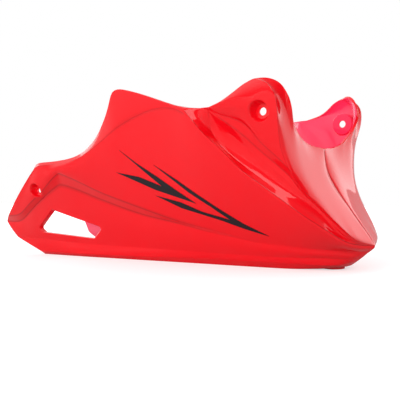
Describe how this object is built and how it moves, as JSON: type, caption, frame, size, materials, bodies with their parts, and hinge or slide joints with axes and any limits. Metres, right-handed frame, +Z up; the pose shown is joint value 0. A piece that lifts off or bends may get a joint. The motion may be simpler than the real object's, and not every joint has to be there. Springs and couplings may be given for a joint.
{
  "type": "motorcycle belly pan",
  "caption": "Glossy red moulded belly pan for a small motorcycle, an open shell with tapering flanks, side vents, raised mounting ears and dark stripes.",
  "frame": {"origin": "on the floor plane, below the middle of the pan's length and width", "axes": "+X to the nose, +Y to the left side of the motorcycle, +Z up"},
  "size_m": [0.535, 0.242, 0.2156],
  "materials": {
    "paint": "glossy painted",
    "stripe": "glossy film"
  },
  "bodies": {
    "root": {"belly_pan": "paint", "upper_stripe_right": "stripe", "lower_stripe_right": "stripe", "upper_stripe_left": "stripe", "lower_stripe_left": "stripe"}
  },
  "joints": []
}
